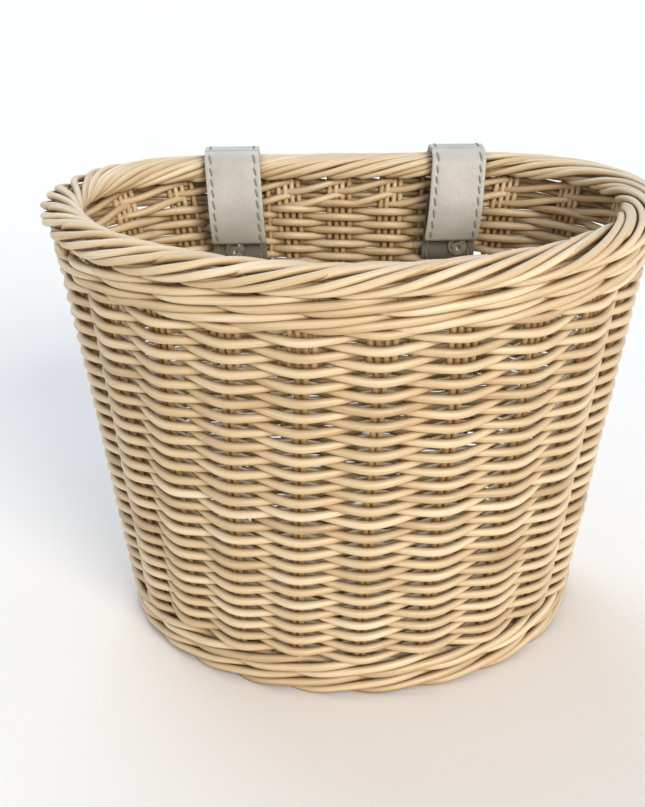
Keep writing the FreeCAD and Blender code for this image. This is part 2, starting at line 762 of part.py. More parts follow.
def check(doc, parts):
    """Stop before anything is written if a feature failed or a sub-part is not sound."""
    for item in doc.Objects:
        if "Invalid" in item.State or "Error" in item.State:
            raise RuntimeError(f"{item.Label} failed: {item.State}")
    for part in parts:
        if part.Shape.isNull() or not part.Shape.isValid() or not part.Shape.Solids:
            raise RuntimeError(f"{part.Label} has no sound shape")


def main():
    doc = FreeCAD.newDocument("HandlebarBasket")
    sheet = make_sheet(doc)

    def size(alias):
        return float(sheet.get(alias))

    parts = make_floor(doc, size) + make_basket(doc, size)
    for side in STRAP_CENTRES:
        parts += make_loop(doc, side)
        parts += make_flap(doc, side)
        parts += make_fasteners(doc, side)
    doc.recompute()
    check(doc, parts)
    os.makedirs("parts", exist_ok=True)
    for part in parts:
        part.Shape.exportStep(f"parts/{part.Label}.step")
        print(part.Label, len(part.Shape.Solids), round(part.Shape.Volume, 1))


main()
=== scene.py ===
"""Looks of a woven handlebar basket: cane weave, wales, rolled border, foot, base and two leather straps."""

import math
import random

import bpy
import numpy as np
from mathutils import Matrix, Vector


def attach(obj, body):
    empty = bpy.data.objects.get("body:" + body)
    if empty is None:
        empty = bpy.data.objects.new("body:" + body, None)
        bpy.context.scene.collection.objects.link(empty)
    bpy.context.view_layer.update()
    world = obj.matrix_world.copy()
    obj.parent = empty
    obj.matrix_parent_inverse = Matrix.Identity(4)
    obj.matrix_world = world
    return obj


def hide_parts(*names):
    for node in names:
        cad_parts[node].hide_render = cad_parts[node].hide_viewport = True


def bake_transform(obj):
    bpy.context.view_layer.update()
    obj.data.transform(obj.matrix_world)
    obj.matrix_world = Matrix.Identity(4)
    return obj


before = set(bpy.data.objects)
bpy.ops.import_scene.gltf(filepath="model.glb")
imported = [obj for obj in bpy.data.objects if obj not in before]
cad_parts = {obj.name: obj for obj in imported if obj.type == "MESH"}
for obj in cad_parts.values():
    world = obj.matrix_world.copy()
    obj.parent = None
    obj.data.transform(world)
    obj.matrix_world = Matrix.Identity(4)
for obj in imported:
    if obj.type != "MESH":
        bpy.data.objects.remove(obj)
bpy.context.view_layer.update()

MM = 0.001
RNG = random.Random(23)

# The wall. Lengths are millimetres. An outline is (half width, back, front, corner radius).
GROUPS = 23
WALL_LEVEL = 140.0
BASE_OUTLINE = (82.0, 59.0, 58.0, 43.0)
WALL_OUTLINE = (100.2, 62.2, 88.2, 52.2)
RIM_OUTLINE = (105.0, 67.0, 93.0, 57.0)
WALL_MIDDLE = 3.6
RIM_MIDDLE = 7.5

# How much closer together the stake groups stand at the back and front, at the back alone, and at the back
# low down.
CROWDING = 0.061
BACK_CROWDING = 0.085
LOW_BACK_CROWDING = 0.129
# How far the groups are moved on round the ring, how far towards -X, and how far the ones in front lean
# towards +X as they rise.
STAKE_SHIFT = 3.1
STAKE_SWAY = 5.44
STAKE_LEAN = 4.57

# The stakes: how thick and how far apart, closer together low down, and the levels of their ends.
STAKE = 2.15
STAKE_SPREAD = 0.1
STAKE_PITCH = 2.45
LOW_PITCH = 0.86
PITCH_GROWS = (90.0, 130.0)
STAKE_FOOT = 3.0
STAKE_TOP = 151.0
BORDER_CANE_FOOT = 125.0
STAKE_POINTS = 24
# The stakes, which also make the border, are a little paler than the weavers: painted light on the stakes
# that sit in shade between the floats, kept in the border strokes that are their ends.
STAKE_PALER_PAINTED_LIGHT = 0.1
# A stake starts up to this much higher, and this length sets how slowly it drifts sideways.
FOOT_SPREAD = 4.0
STAKE_DRIFT_LENGTH = 30.0

# The two canes of each strap group: their places beside the group at the foot, and beside the strap on top.
STRAP_GROUP = 2
SPLIT_FOOT = 5.0
SPLIT_OUTER = (10.0, 16.0)
SPLIT_INNER = (-4.0, -12.6)

# The side weave. A weaver swings out and in as it passes the groups, and lies lower outside than inside. VEE
# makes that slant sharper. At each group SAG lowers the weaver and SQUEEZE thickens it, outside and inside.
WEAVER = 2.84
ROW = 2.567
ROWS = 49
FIRST_ROW = 14.18
CLIMB_WIDTH = 4.0
FLOAT = 2.7
SLANT = 0.6
VEE = 0.14
SAG = 0.05
SQUEEZE = 0.05
# Points of a path for each group, and how many groups from the middle of the back two weavers may meet.
STEPS = 12
JOIN_SPREAD = 6
# Uneven drift of a hand-laid cane: up, down or sideways, and across the wall.
DRIFT = 0.2
DRIFT_OUT = 0.16

# Longer floats over the split canes: how many groups they reach to each side, and the size of the change.
WARP_GROUPS = 1.3
WARP = 0.3

# Slots that the weavers leave for the straps: how far they part, how wide, and over what lengths it fades
# beside the slot, and above and below it.
SLOT_LEVEL = 120.5
SLOT_OPENING = 1.35
SLOT_HALF_WIDTH = 15.0
SLOT_FADE = 6.0
SLOT_FALL = 5.0

# The wales: levels of their rows and the swing of their strands.
WALE_FLOAT = 2.2
WALE_OUT = 0.3
WALE_DRIFT_OUT = 0.15
TOP_WALES = (142.5, 147.9)
TOP_SWING = 1.85
LOW_WALE = 11.3
LOW_SWING = 2.3
FOOT_WALE = 4.2
FOOT_SWING = 2.45

# The rolled border. A run is how far a cane travels along the border for each millimetre that it rolls
# over it: on the outer side, over the top and on the inner side.
BORDER_CANE = 2.45
OUTER_RUN = 3.7
TOP_RUN = 3.4
CORNER_TOP_RUN = 1.8
CORNER_GROUP = -6.0
INNER_RUN = 3.4
BACK_STRETCH = 0.4
STRETCH_GROUP = 2.5
# Mean distance of two groups along the border.
MEAN_GROUP = 24.8
# Level of the roll's middle, and half its width and height.
ROLL_CENTRE = 154.75
ROLL_HALF_WIDTH = 6.05
ROLL_HALF_HEIGHT = 3.75
ROLL_POINTS = 70
# Where on its roll, in degrees, a cane goes over from the outer side to the top, and on to the inner side.
ROLL_TOP = (25.0, 60.0)
ROLL_INSIDE = (112.0, 138.0)
# How far a cane lifts off the roll at these angles, and over what lengths its two ends are tucked in.
LIFT_ANGLES = (-40.0, 60.0, 210.0)
LIFTS = (-0.25, 0.25, -0.1)
START_TUCK = 5.0
END_TUCK = 6.0
END_SINK = 0.4
# Two long strokes start from each group: their places and how much these vary, first and last angles, lift,
# sunk start, and change of thickness.
LONG_STARTS = (0.3, 0.74)
LONG_JITTER = 0.1
LONG_ROLL = (-78.0, 236.0)
LONG_LIFT = (-0.3, 0.3)
LONG_SINK = 0.4
LONG_THICKER = (-0.05, 0.15)
# The same for the short stroke between them, which is not as pale.
SHORT_START = -1.1
SHORT_JITTER = 0.05
SHORT_ROLL = (36.0, 228.0)
SHORT_LIFT = (-0.6, -0.2)
SHORT_SINK = 0.42
SHORT_THINNER = (0.0, 0.16)
SHORT_PALER = 0.05
# Canes that fill the roll: thickness, and places as (distance out, level).
CORE_CANE = 2.9
CORE_PLACES = ((-1.9, 154.2), (1.9, 154.2), (0.0, 155.2), (0.0, 152.6), (-3.7, 154.0), (3.7, 154.0))

# The woven floor, and the level and number of points at which the wall round it is measured.
FLOOR_LEVEL = 7.4
STICK = 3.4
STICK_PITCH = 20.0
STICK_GAP = 4.0
FLOOR_CANE = 2.5
FLOOR_PITCH = 2.62
FLOOR_LIFT = 2.6
FLOOR_BACK = 53.0
FLOOR_FRONT = -50.0
FLOOR_STEP = 2.2
FLOOR_DRIFT = 0.15
EDGE_LEVEL = 6.0
EDGE_POINTS = 400

# The straps. A circle is (distance back, level, radius); an angle is in degrees.
STRAPS = {"left": -42.0, "right": 42.0}
STRAP_TILT = {"left": 2.0, "right": -3.4}
TILT_TOP = 160.0
TILT_DROP = 35.0
STRAP_WIDTH = 20.0
LINING = 1.0
FACE = 1.3
# A layer is (offset from the strap's inner side, thickness, width, radius of its edge, dip of its seam).
FACE_LAYER = (LINING, FACE, STRAP_WIDTH, 0.35, 0.16)
LINING_LAYER = (0.0, LINING, STRAP_WIDTH - 0.5, 0.3, 0.04)
# How far a layer's top drops at distances from its middle, on either side of the seam, and at its edge.
BEFORE_SEAM = ((0.0, 0.0), (2.5, 0.0), (5.0, -0.01), (7.0, -0.03), (7.6, -0.08))
SEAM = 8.0
AFTER_SEAM = ((8.4, -0.08), (9.0, -0.04))
EDGE_DROP = 0.06
# How much narrower and thinner a layer gets at its ends, and over what lengths.
END_NARROW = 0.05
NARROW_LENGTH = 1.4
END_THIN = 0.25
THIN_LENGTH = 0.8
BULGE = (64.5, 140.0, 18.0)
CREST_INNER = (56.0, 155.0, 5.2)
CREST_OUTER = (62.0, 155.0, 5.2)
HANDLEBAR = (79.15, 134.0, 11.2)
TAIL_BEND = (54.9, 123.6, 1.2)
TAIL_TOP = 146.0
FLAP_TIP = 213.7
CREST = 90.0
TAIL_SIDE = -180.0
# Degrees of a bend between two points of a path.
BEND_STEP = 6.0

# The stitches: length, pitch, room before the first, room in all, place in from the edge, slant, how far
# their ends are sunk, points; and how thick the thread is and how deep it lies.
STITCH = 2.9
STITCH_PITCH = 3.9
STITCH_START = 1.6
STITCH_END = 2.4
STITCH_INSET = 2.0
STITCH_SLANT = 0.35
STITCH_SINK = 0.32
STITCH_POINTS = 6
THREAD_WIDTH = 0.6
THREAD_DEPTH = 0.04


def ring_shape(outline, inset):
    """Corner and front circles of a D outline, and the lengths of its quarter stretches."""
    half, back, front, corner = outline
    corner_x = half - corner
    corner_y = back - corner
    reach = corner_y + front
    front_radius = (corner_x ** 2 + reach ** 2 - corner ** 2) / (2 * (reach - corner))
    front_y = front_radius - front
    join = np.arctan2(corner_y - front_y, corner_x)
    near = corner - inset
    wide = front_radius - inset
    bend = near * (math.pi / 2 - join)
    length = 2 * (corner_x + bend + wide * (math.pi / 2 + join))
    return corner_x, corner_y, front_y, join, near, wide, bend, length


def ring_at(outline, inset, distance, level, out):
    """Points at a distance along a D outline from the middle of its back, at a height, and out from it."""
    corner_x, corner_y, front_y, join, near, wide, bend, length = ring_shape(outline, inset)
    distance = (distance + length / 2) % length - length / 2
    side = np.where(distance >= 0, 1.0, -1.0)
    along = np.abs(distance)
    on_corner = math.pi / 2 - (along - corner_x) / near
    on_front = join - (along - corner_x - bend) / wide
    flat = along <= corner_x
    bent = along <= corner_x + bend
    angle = np.where(bent, on_corner, on_front)
    normal_x = np.where(flat, 0.0, side * np.cos(angle))
    normal_y = np.where(flat, 1.0, np.sin(angle))
    x = np.where(flat, distance, side * np.where(bent, corner_x, 0.0) + normal_x * np.where(bent, near, wide))
    y = np.where(flat | bent, corner_y + normal_y * near, front_y + normal_y * wide)
    return np.stack([x + normal_x * out, y + normal_y * out, level], axis=-1)


def group_distance(outline, inset, group, level):
    """Distance of a stake group along an outline from the middle of the back, towards +X."""
    length = ring_shape(outline, inset)[-1]
    turn = 2 * math.pi * group / GROUPS
    drop = np.clip(1 - level / WALL_LEVEL, -0.2, 1)
    back = (BACK_CROWDING + LOW_BACK_CROWDING * drop) * np.sin(turn)
    lean = STAKE_LEAN * drop * (1 - np.cos(turn)) / 2
    sway = STAKE_SHIFT - STAKE_SWAY * np.cos(turn) + lean
    return (turn - CROWDING * np.sin(2 * turn) - back) / (2 * math.pi) * length + sway


def same_shape(*values):
    return np.broadcast_arrays(*(np.asarray(value, float) for value in values))


def wall_outline(level):
    """The wall's outer outline at each height."""
    grow = np.asarray(level, float) / WALL_LEVEL
    return [low + (high - low) * grow for low, high in zip(BASE_OUTLINE, WALL_OUTLINE)]


def wall_place(group, level, out, beside=0.0):
    """Points in the woven wall, at a distance out from its middle surface and beside a stake group."""
    group, level, out = same_shape(group, level, out)
    outline = wall_outline(level)
    distance = group_distance(outline, WALL_MIDDLE, group, level) + beside
    return ring_at(outline, WALL_MIDDLE, distance, level, out)


def rim_place(group, level, out):
    group, level, out = same_shape(group, level, out)
    distance = group_distance(RIM_OUTLINE, RIM_MIDDLE, group, level)
    return ring_at(RIM_OUTLINE, RIM_MIDDLE, distance, level, out)


def smooth(value):
    value = np.clip(value, 0, 1)
    return value * value * (3 - 2 * value)


def fade(value, low, high):
    """From 0 at low to 1 at high, smoothly."""
    return smooth((value - low) / (high - low))


def climb(forward):
    """Rounds gained by a strand that goes level round the basket and climbs at the middle of the back."""
    turns = np.round(forward / GROUPS)
    past = forward - turns * GROUPS
    return turns + smooth(past / CLIMB_WIDTH + 0.5)


def wander(along, size, speeds=(0.9, 2.1, 3.7)):
    """Slow uneven drift of a hand-laid strand."""
    total = np.zeros_like(along)
    for speed in speeds:
        total += np.sin(along * speed * RNG.uniform(0.8, 1.2) + RNG.uniform(0, 2 * math.pi))
    return total * size / len(speeds)


# Canes as meshes

# How far a cane's closed end stands out, in diameters, and how much thinner it is there.
END_CAP = 0.16
END_TIP = 0.55
# Moves each cane to a place of its own in the grain.
GRAIN_JUMP = 977.0
# A direction that hardly any cane follows, and one to take instead.
UPRIGHT = (0.13, 0.21, 0.97)
SIDEWAYS = (1.0, 0.1, 0.0)


class Strands:
    """Gathers round canes into one mesh that knows where each point lies along and round its cane."""

    def __init__(self):
        self.points = []
        self.faces = []
        self.grain = []
        self.tone = []
        self.count = 0

    def add(self, path, diameter, tone, sides=8, squeeze=None):
        """A cane along a path, with its ends closed; squeeze is how thick it is at each point of the path."""
        path = np.asarray(path, float)
        tangent = np.gradient(path, axis=0)
        tangent /= np.linalg.norm(tangent, axis=1)[:, None]
        step = np.linalg.norm(np.diff(path, axis=0), axis=1)
        along = np.concatenate([[0], np.cumsum(step)]) + tone * GRAIN_JUMP
        near_end = path[0] - tangent[0] * diameter * END_CAP
        far_end = path[-1] + tangent[-1] * diameter * END_CAP
        path = np.vstack([near_end, path, far_end])
        tangent = np.vstack([tangent[:1], tangent, tangent[-1:]])
        along = np.concatenate([along[:1], along, along[-1:]])
        thickness = np.full(len(path), 1.0)
        if squeeze is not None:
            thickness[1:-1] = squeeze
        radius = thickness * diameter / 2
        radius[[0, -1]] *= END_TIP
        normal = np.cross(tangent[0], UPRIGHT)
        if np.linalg.norm(normal) < 0.2:
            normal = np.cross(tangent[0], SIDEWAYS)
        angles = np.arange(sides) * 2 * math.pi / sides
        rings = []
        for at, direction, size in zip(path, tangent, radius):
            normal = normal - direction * normal.dot(direction)
            normal /= np.linalg.norm(normal)
            other = np.cross(direction, normal)
            rings.append(at + size * (np.cos(angles)[:, None] * normal + np.sin(angles)[:, None] * other))
        first = self.count
        rows = len(path)
        self.points.append(np.vstack(rings))
        self.count += rows * sides
        across = np.stack([np.cos(angles), np.sin(angles)], axis=1) * diameter / 2
        self.grain.append(np.hstack([np.repeat(along, sides)[:, None], np.tile(across, (rows, 1))]))
        self.tone.append(np.full(rows * sides, tone))
        for row in range(rows - 1):
            low = first + row * sides
            for side in range(sides):
                after = (side + 1) % sides
                self.faces.append((low + side, low + after, low + sides + after, low + sides + side))
        self.faces.append(tuple(first + side for side in reversed(range(sides))))
        self.faces.append(tuple(first + (rows - 1) * sides + side for side in range(sides)))

    def build(self, name, material, body="basket", stands_for=()):
        mesh = bpy.data.meshes.new(name)
        mesh.from_pydata((np.vstack(self.points) * MM).tolist(), [], self.faces)
        grain = mesh.attributes.new("grain", "FLOAT_VECTOR", "POINT")
        grain.data.foreach_set("vector", (np.vstack(self.grain) * MM).ravel())
        tone = mesh.attributes.new("tone", "FLOAT", "POINT")
        tone.data.foreach_set("value", np.concatenate(self.tone))
        return place_piece(name, mesh, material, body, stands_for)


def place_piece(name, mesh, material, body, stands_for=()):
    """An object for a finished mesh, smooth shaded, riding on its body."""
    mesh.shade_smooth()
    piece = bpy.data.objects.new(name, mesh)
    bpy.context.scene.collection.objects.link(piece)
    piece.data.materials.append(material)
    if body:
        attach(piece, body)
    if stands_for:
        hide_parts(*stands_for)
    return piece


# Materials

class Nodes:
    """Short names for the few node types that the materials use."""

    def __init__(self, name):
        self.material = bpy.data.materials.new(name)
        self.material.use_nodes = True
        self.tree = self.material.node_tree
        self.shader = self.tree.nodes["Principled BSDF"]

    def new(self, kind, **values):
        node = self.tree.nodes.new(kind)
        for name, value in values.items():
            setattr(node, name, value)
        return node

    def link(self, source, target):
        self.tree.links.new(source, target)

    def attribute(self, name, output="Fac"):
        return self.new("ShaderNodeAttribute", attribute_name=name).outputs[output]

    def position(self):
        return self.new("ShaderNodeTexCoord").outputs["Object"]

    def stretched(self, vector, scale):
        node = self.new("ShaderNodeVectorMath", operation="MULTIPLY")
        self.link(vector, node.inputs[0])
        node.inputs[1].default_value = scale
        return node.outputs[0]

    def noise(self, vector, scale=1.0, detail=3.0, rough=0.55):
        node = self.new("ShaderNodeTexNoise")
        self.link(vector, node.inputs["Vector"])
        node.inputs["Scale"].default_value = scale
        node.inputs["Detail"].default_value = detail
        node.inputs["Roughness"].default_value = rough
        return node.outputs["Fac"]

    def cells(self, vector, scale):
        node = self.new("ShaderNodeTexVoronoi", feature="F1")
        self.link(vector, node.inputs["Vector"])
        node.inputs["Scale"].default_value = scale
        return node.outputs["Distance"]

    def ramp(self, value, stops):
        node = self.new("ShaderNodeValToRGB")
        self.link(value, node.inputs["Fac"])
        elements = node.color_ramp.elements
        while len(elements) < len(stops):
            elements.new(0.5)
        for element, (place, colour) in zip(elements, stops):
            element.position = place
            element.color = (*colour, 1.0)
        return node.outputs["Color"]

    def spread(self, value, low, high, to_low, to_high):
        """The value, with its range from low to high spread from to_low to to_high."""
        node = self.new("ShaderNodeMapRange")
        self.link(value, node.inputs["Value"])
        node.inputs["From Min"].default_value = low
        node.inputs["From Max"].default_value = high
        node.inputs["To Min"].default_value = to_low
        node.inputs["To Max"].default_value = to_high
        return node.outputs["Result"]

    def mix(self, factor, first, second, blend="MIX"):
        node = self.new("ShaderNodeMix", data_type="RGBA", blend_type=blend)
        for name, value in (("Factor", factor), ("A", first), ("B", second)):
            socket = node.inputs[name]
            if isinstance(value, bpy.types.NodeSocket):
                self.link(value, socket)
            else:
                socket.default_value = value if isinstance(value, float) else (*value, 1.0)
        return node.outputs["Result"]

    def math(self, operation, first, second=0.0):
        node = self.new("ShaderNodeMath", operation=operation)
        for value, socket in zip((first, second), node.inputs):
            if isinstance(value, bpy.types.NodeSocket):
                self.link(value, socket)
            else:
                socket.default_value = value
        return node.outputs[0]

    def painted_top_light(self, colour, pale, amount):
        """The colour, paler on the surfaces that face upwards: painted light from above."""
        facing = self.new("ShaderNodeSeparateXYZ")
        self.link(self.new("ShaderNodeNewGeometry").outputs["Normal"], facing.inputs[0])
        return self.mix(self.spread(facing.outputs["Z"], -0.1, 0.9, 0.0, amount), colour, pale)

    def painted_crevice_shade(self, colour, shade_tint, reach, closed=0.15, clear=0.85):
        """The colour, darkened with painted shade where other strands stand closer than reach."""
        node = self.new("ShaderNodeAmbientOcclusion", samples=6)
        node.inputs["Distance"].default_value = reach
        openness = self.spread(node.outputs["AO"], closed, clear, 0.0, 1.0)
        return self.mix(openness, self.mix(1.0, colour, shade_tint, "MULTIPLY"), colour)

    def bump(self, height, distance):
        node = self.new("ShaderNodeBump")
        self.link(height, node.inputs["Height"])
        node.inputs["Distance"].default_value = distance
        node.inputs["Strength"].default_value = 1.0
        self.link(node.outputs["Normal"], self.shader.inputs["Normal"])


def cane_material(name, stops):
    """Round rattan core: a tone for each cane, fine fibres along it, slow blotches and small dark flecks."""
    nodes = Nodes(name)
    grain = nodes.attribute("grain", "Vector")
    fibre = nodes.noise(nodes.stretched(grain, (60.0, 2400.0, 2400.0)), detail=4.0, rough=0.6)
    blotch = nodes.noise(nodes.stretched(grain, (38.0, 300.0, 300.0)), detail=2.0)
    fleck = nodes.noise(nodes.stretched(grain, (260.0, 3000.0, 3000.0)), detail=2.0, rough=0.7)
    tone = nodes.math("ADD", nodes.attribute("tone"), nodes.spread(blotch, 0.3, 0.7, -0.22, 0.22))
    colour = nodes.ramp(tone, stops)
    shade = nodes.ramp(fibre, (
        (0.25, (0.80, 0.76, 0.70)),
        (0.52, (1.0, 1.0, 1.0)),
        (0.8, (1.06, 1.05, 1.03)),
    ))
    colour = nodes.mix(1.0, colour, shade, "MULTIPLY")
    colour = nodes.mix(nodes.spread(fleck, 0.66, 0.76, 0.0, 0.5), colour, (0.30, 0.17, 0.08))
    # Painted light: surfaces that face upwards are made paler and greyer, as if lit from above.
    colour = nodes.painted_top_light(colour, (0.74, 0.70, 0.61), 0.36)
    # Painted shade: the cane is darkened and warmed where other strands stand close.
    colour = nodes.painted_crevice_shade(colour, (0.46, 0.34, 0.18), 0.0055)
    nodes.link(colour, nodes.shader.inputs["Base Color"])
    nodes.link(nodes.spread(fibre, 0.3, 0.7, 0.50, 0.36), nodes.shader.inputs["Roughness"])
    nodes.shader.inputs["Specular IOR Level"].default_value = 0.75
    nodes.bump(fibre, 0.00012)
    return nodes.material


CANE = cane_material("cane", (
    (0.0, (0.46, 0.29, 0.12)),
    (0.35, (0.64, 0.455, 0.23)),
    (0.7, (0.75, 0.575, 0.34)),
    (1.0, (0.82, 0.675, 0.455)),
))


def tone():
    """How pale a cane is, from 0 to 1; most are in the middle."""
    return min(1.0, max(0.0, RNG.gauss(0.49, 0.15)))


# The weave

def strap_warp(group, level):
    """Floats over the split canes beside a strap are longer than the others."""
    around = (group + GROUPS / 2) % GROUPS - GROUPS / 2
    shift = np.zeros_like(around)
    for middle in (-STRAP_GROUP, STRAP_GROUP):
        off = np.clip((around - middle) / WARP_GROUPS, -1, 1)
        shift -= WARP * np.sin(math.pi * off) * np.cos(math.pi * off / 2) ** 2
    return shift * np.clip(level / WALL_LEVEL, 0, 1)


def open_slots(points):
    """Weavers part above and below each strap where it goes through the wall."""
    behind = points[:, 1] > 0
    for middle in STRAPS.values():
        beside = smooth((SLOT_HALF_WIDTH - np.abs(points[:, 0] - middle)) / SLOT_FADE) * behind
        off = points[:, 2] - SLOT_LEVEL
        near = np.exp(-np.abs(off) / SLOT_FALL)
        points[:, 2] += np.where(off >= 0, SLOT_OPENING, -SLOT_OPENING) * beside * near
    return points


def weaver_path(start, end):
    """A weaver's way over one stake group and under the next, and how thick it is on the way."""
    forward = np.arange(start * STEPS, end * STEPS + 1) / STEPS
    level = FIRST_ROW + ROW * climb(forward) + wander(forward, DRIFT)
    phase = math.pi * (forward - strap_warp(-forward, level))
    level -= SLANT * (np.cos(phase) + VEE * np.cos(3 * phase)) + SAG * np.cos(2 * phase)
    out = FLOAT * np.cos(phase) + wander(forward, DRIFT_OUT)
    return open_slots(wall_place(-forward, level, out)), 1 + SQUEEZE * np.cos(2 * phase)


def build_side():
    """The weavers, one after another; each starts where the last one ended, half-way between two groups."""
    start = 0.5
    for row in range(ROWS):
        end = (row + 1) * GROUPS + RNG.randint(-JOIN_SPREAD, JOIN_SPREAD) + 0.5
        if row == ROWS - 1:
            end = ROWS * GROUPS + 0.5
        strands = Strands()
        path, squeeze = weaver_path(start, end)
        strands.add(path, WEAVER + RNG.uniform(-0.08, 0.1), tone(), squeeze=squeeze)
        stands_for = ("side_weave",) if row == 0 else ()
        strands.build(f"weaver_{row + 1:02d}", CANE, stands_for=stands_for)
        start = end


def wale_path(start, phase, level, swing):
    """One of three strands of a wale: outside from one group to the next but one, then inside for one gap."""
    forward = np.arange(start * STEPS, (start + GROUPS) * STEPS + 1) / STEPS + phase
    turn = 2 * math.pi * (forward - phase * 2.0) / 3
    out = WALE_FLOAT * (1 / 3 + np.cos(turn) - np.cos(2 * turn) / 3) + WALE_OUT
    rise = swing * (np.sin(turn) - 0.2 * np.sin(2 * turn))
    return wall_place(-forward, level + rise + wander(forward, DRIFT), out + wander(forward, WALE_DRIFT_OUT))


def build_wale(name, levels, swing, stands_for):
    """Rows of three strands each, the rows starting a few groups apart."""
    strands = Strands()
    for row, level in enumerate(levels):
        start = 2.0 + 5.0 * row
        for phase in range(3):
            strands.add(wale_path(start, float(phase), level, swing), WEAVER, tone())
    strands.build(name, CANE, stands_for=(stands_for,))


def build_wales():
    build_wale("wale_top", TOP_WALES, TOP_SWING, "upper_wale")
    build_wale("wale_low", (LOW_WALE,), LOW_SWING, "lower_wale")
    build_wale("foot", (FOOT_WALE,), FOOT_SWING, "foot_border")


def build_stakes():
    """Two long canes and two short border canes in each group, and two parted canes beside each strap."""
    strands = Strands()
    border = Strands()
    half = GROUPS // 2
    # Each stake gets a paler tone: painted light on canes that sit in shade between the floats.
    for index in range(-half, half + 1):
        side = math.copysign(1, index)
        if abs(index) == STRAP_GROUP:
            for low, high in (SPLIT_OUTER, SPLIT_INNER):
                path = split_cane(index, side, low, high)
                strands.add(path, stake_diameter(), tone() + STAKE_PALER_PAINTED_LIGHT)
            continue
        for step in (-1.5, -0.5, 0.5, 1.5):
            short = abs(step) > 1
            faces_strap = abs(index) == STRAP_GROUP + 1 and step * side < 0
            if short and faces_strap:
                continue
            foot = BORDER_CANE_FOOT if short else STAKE_FOOT
            level = np.linspace(foot + RNG.uniform(0, FOOT_SPREAD), STAKE_TOP, STAKE_POINTS)
            pitch = STAKE_PITCH * (LOW_PITCH + (1 - LOW_PITCH) * fade(level, *PITCH_GROWS))
            beside = step * pitch + wander(level / STAKE_DRIFT_LENGTH, DRIFT)
            path = wall_place(index, level, 0.0, beside)
            group = border if short else strands
            group.add(path, stake_diameter(), tone() + STAKE_PALER_PAINTED_LIGHT)
    strands.build("stakes", CANE, stands_for=("main_stakes",))
    border.build("stakes_upper", CANE, stands_for=("border_stakes",))


def stake_diameter():
    return STAKE + RNG.uniform(-STAKE_SPREAD, STAKE_SPREAD)


def split_cane(index, side, low, high):
    """One of the two canes of a strap group, which part to either side of the strap as they rise."""
    foot = float(group_distance(wall_outline(SPLIT_FOOT), WALL_MIDDLE, index, SPLIT_FOOT)) + side * low
    top = side * (STRAPS["right"] + high)
    ends = [ring_at(wall_outline(level), WALL_MIDDLE, *same_shape(distance, level, 0.0))
            for distance, level in ((foot, SPLIT_FOOT), (top, STAKE_TOP))]
    share = np.linspace(0, 1, STAKE_POINTS)[:, None]
    return ends[0] * (1 - share) + ends[1] * share


def near_group(start, group):
    """How near a place on the ring is to a group: 1 at the group, and 0 from a quarter of the ring away."""
    return smooth(math.cos(2 * math.pi * (start - group) / GROUPS))


def roll_path(start, first, last, lift, sink):
    """A border cane that comes out under its neighbours, rolls over the border and is tucked in behind."""
    degrees = np.linspace(first, last, ROLL_POINTS)
    angle = np.radians(degrees)
    out = ROLL_HALF_WIDTH * np.cos(angle)
    rise = ROLL_HALF_HEIGHT * np.sin(angle)
    top_run = TOP_RUN + (CORNER_TOP_RUN - TOP_RUN) * near_group(start, CORNER_GROUP)
    run = top_run + (OUTER_RUN - top_run) * (1 - fade(degrees, *ROLL_TOP))
    run += (INNER_RUN - top_run) * fade(degrees, *ROLL_INSIDE)
    run *= 1 + BACK_STRETCH * near_group(start, STRETCH_GROUP)
    step = np.hypot(np.diff(out), np.diff(rise)) * (run[1:] + run[:-1]) / 2
    travel = np.concatenate([[0], np.cumsum(step)])
    start_tucked = 1 - smooth(travel / START_TUCK)
    end_tucked = 1 - smooth((travel[-1] - travel) / END_TUCK)
    hidden = 1 - sink * start_tucked - END_SINK * end_tucked
    grow = hidden * (1 + (lift + np.interp(degrees, LIFT_ANGLES, LIFTS)) / ROLL_HALF_WIDTH)
    return rim_place(start - travel / MEAN_GROUP, ROLL_CENTRE + rise * grow, out * grow)


def build_border():
    """Strokes that roll over the rim, round a core of canes that fills the roll."""
    strands = Strands()
    for index in range(GROUPS):
        for begin in LONG_STARTS:
            start = index + begin + RNG.uniform(-LONG_JITTER, LONG_JITTER)
            path = roll_path(start, *LONG_ROLL, RNG.uniform(*LONG_LIFT), LONG_SINK)
            strands.add(path, BORDER_CANE + RNG.uniform(*LONG_THICKER), tone() + STAKE_PALER_PAINTED_LIGHT)
        start = index + SHORT_START + RNG.uniform(-SHORT_JITTER, SHORT_JITTER)
        path = roll_path(start, *SHORT_ROLL, RNG.uniform(*SHORT_LIFT), SHORT_SINK)
        strands.add(path, BORDER_CANE - RNG.uniform(*SHORT_THINNER), tone() + SHORT_PALER)
    strands.build("border", CANE, stands_for=("rolled_border",))
    core = Strands()
    forward = np.linspace(0, GROUPS, 200)
    for out, level in CORE_PLACES:
        # The core canes take the darkest tone: painted shade in the gaps between the border strokes.
        core.add(rim_place(forward, level, out), CORE_CANE, 0.0)
    core.build("border_core", CANE)


def build_sticks():
    """Seven sticks across the floor, from the front wall to the back wall."""
    sticks = Strands()
    for index in range(-3, 4):
        x = index * STICK_PITCH
        y = np.linspace(wall_edge(x, -1) + STICK_GAP, wall_edge(x, 1) - STICK_GAP, 12)
        path = np.stack([np.full_like(y, x), y, np.full_like(y, FLOOR_LEVEL)], axis=1)
        sticks.add(path, STICK, tone())
    sticks.build("base_sticks_cane", CANE, stands_for=("base_sticks",))


